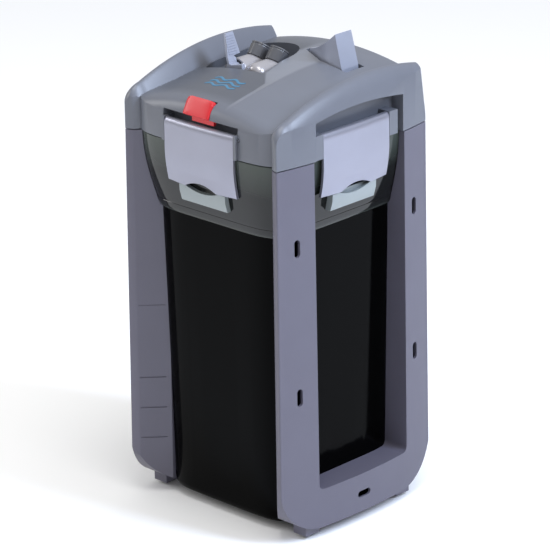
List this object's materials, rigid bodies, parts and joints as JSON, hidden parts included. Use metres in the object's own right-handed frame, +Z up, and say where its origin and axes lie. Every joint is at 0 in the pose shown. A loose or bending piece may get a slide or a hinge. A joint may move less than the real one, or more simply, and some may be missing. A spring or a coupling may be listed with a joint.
{
  "type": "aquarium canister filter",
  "caption": "Tall external canister filter with side frames, clip-down pump head, hose adapter with lever, priming handle and stacked media baskets.",
  "frame": {"origin": "on the floor, under the middle of the canister", "axes": "+X towards the right side frame, -Y towards the front clip with the red button, +Z up"},
  "size_m": [0.2682, 0.2514, 0.5595],
  "materials": {
    "smoked_plastic": "deep smoked grey, high gloss",
    "frame_plastic": "satin purple grey moulding",
    "head_plastic": "satin blue grey moulding",
    "clip_plastic": "silver grey moulding",
    "adapter_plastic": "pale pearl grey",
    "nozzle_plastic": "glossy mid grey",
    "red_plastic": "signal red moulding",
    "black_plastic": "black moulding",
    "basket_plastic": "slate moulding",
    "seal_rubber": "matte black rubber",
    "roller_rubber": "dark rubber roller",
    "pin_steel": "stainless steel",
    "stator_iron": "laminated core",
    "coil_copper": "enamelled copper winding",
    "magnet": "sintered ferrite",
    "ceramic": "polished white ceramic",
    "filter_media": "sintered granules",
    "coarse_foam": "open-cell blue foam",
    "fine_fleece": "white fleece"
  },
  "bodies": {
    "filter": {"canister_vessel": "smoked_plastic", "side_frame_right": "frame_plastic", "side_frame_left": "frame_plastic", "head_cover": "head_plastic", "head_base": "black_plastic", "head_gasket": "seal_rubber", "clip_pin_front": "pin_steel", "clip_pin_right": "pin_steel", "clip_pin_rear": "pin_steel", "clip_pin_left": "pin_steel", "adapter_body": "adapter_plastic", "hose_nozzle_left": "nozzle_plastic", "hose_nozzle_right": "nozzle_plastic", "adapter_oring_left": "seal_rubber", "adapter_oring_right": "seal_rubber", "priming_handle_pin": "pin_steel", "priming_cylinder": "black_plastic", "priming_spring": "pin_steel", "pump_shaft": "ceramic", "shaft_bush_upper": "seal_rubber", "shaft_bush_lower": "seal_rubber", "impeller_cover": "black_plastic", "stator_core": "stator_iron", "stator_coil": "coil_copper", "basket_1": "basket_plastic", "basket_2": "basket_plastic", "basket_3": "basket_plastic", "basket_4": "basket_plastic", "media_bed_1": "filter_media", "media_bed_2": "filter_media", "media_bed_3": "filter_media", "coarse_pad": "coarse_foam", "fine_pad": "fine_fleece", "inlet_riser": "black_plastic", "roller_axle_front_right": "pin_steel", "roller_axle_rear_right": "pin_steel", "roller_axle_front_left": "pin_steel", "roller_axle_rear_left": "pin_steel", "cable_gland": "black_plastic"},
    "front_clip": {"clip_front": "clip_plastic"},
    "right_clip": {"clip_right": "clip_plastic"},
    "rear_clip": {"clip_rear": "clip_plastic"},
    "left_clip": {"clip_left": "clip_plastic"},
    "button": {"front_button": "red_plastic"},
    "lever": {"adapter_lever": "clip_plastic", "valve_plug_left": "black_plastic"},
    "right_valve": {"valve_plug_right": "black_plastic"},
    "handle": {"priming_handle": "clip_plastic"},
    "piston": {"priming_piston": "black_plastic"},
    "rotor": {"rotor_magnet": "magnet", "impeller": "black_plastic"},
    "wheel_front_right": {"roller_front_right": "roller_rubber"},
    "wheel_rear_right": {"roller_rear_right": "roller_rubber"},
    "wheel_front_left": {"roller_front_left": "roller_rubber"},
    "wheel_rear_left": {"roller_rear_left": "roller_rubber"}
  },
  "joints": [
    {"name": "clip_front_hinge", "type": "hinge", "parent": "filter", "child": "front_clip", "pos_m": [0, -0.1195, 0.4745], "axis": [-1, 0, 0], "range_deg": [0, 100]},
    {"name": "clip_right_hinge", "type": "hinge", "parent": "filter", "child": "right_clip", "pos_m": [0.121, 0, 0.4745], "axis": [0, -1, 0], "range_deg": [0, 100]},
    {"name": "clip_rear_hinge", "type": "hinge", "parent": "filter", "child": "rear_clip", "pos_m": [0, 0.1195, 0.4745], "axis": [1, 0, 0], "range_deg": [0, 100]},
    {"name": "clip_left_hinge", "type": "hinge", "parent": "filter", "child": "left_clip", "pos_m": [-0.121, 0, 0.4745], "axis": [0, 1, 0], "range_deg": [0, 100]},
    {"name": "button_press", "type": "slide", "parent": "filter", "child": "button", "axis": [0, 0.8829, -0.4695], "range_m": [0, 0.002], "stiffness_N_per_m": 400, "springref_m": -0.003},
    {"name": "lever_hinge", "type": "hinge", "parent": "filter", "child": "lever", "pos_m": [-0.056, 0, 0.5098], "axis": [0, -1, 0], "range_deg": [0, 60]},
    {"name": "right_valve_hinge", "type": "hinge", "parent": "filter", "child": "right_valve", "pos_m": [-0.027, 0, 0.5098], "axis": [0, -1, 0], "range_deg": [-3, 66]},
    {"name": "handle_hinge", "type": "hinge", "parent": "filter", "child": "handle", "pos_m": [0, 0.065, 0.515], "axis": [0, 1, 0], "range_deg": [0, 30], "stiffness_Nm_per_rad": 0.5, "springref_deg": -8.59},
    {"name": "piston_slide", "type": "slide", "parent": "filter", "child": "piston", "axis": [0, 0, -1], "range_m": [0, 0.0245], "deforming": ["priming_spring"]},
    {"name": "rotor_spin", "type": "hinge", "parent": "filter", "child": "rotor", "pos_m": [0.02, -0.03, 0.46], "axis": [0, 0, 1], "continuous": true},
    {"name": "wheel_front_right_spin", "type": "hinge", "parent": "filter", "child": "wheel_front_right", "pos_m": [0.116, -0.077, 0.007], "axis": [1, 0, 0], "continuous": true},
    {"name": "wheel_rear_right_spin", "type": "hinge", "parent": "filter", "child": "wheel_rear_right", "pos_m": [0.116, 0.077, 0.007], "axis": [1, 0, 0], "continuous": true},
    {"name": "wheel_front_left_spin", "type": "hinge", "parent": "filter", "child": "wheel_front_left", "pos_m": [-0.116, -0.077, 0.007], "axis": [1, 0, 0], "continuous": true},
    {"name": "wheel_rear_left_spin", "type": "hinge", "parent": "filter", "child": "wheel_rear_left", "pos_m": [-0.116, 0.077, 0.007], "axis": [1, 0, 0], "continuous": true}
  ],
  "couplings": [
    {"joint": "right_valve_hinge", "follows": "lever_hinge", "ratio": 1},
    {"joint": "piston_slide", "follows": "handle_hinge", "m_per_rad": 0.0466}
  ]
}
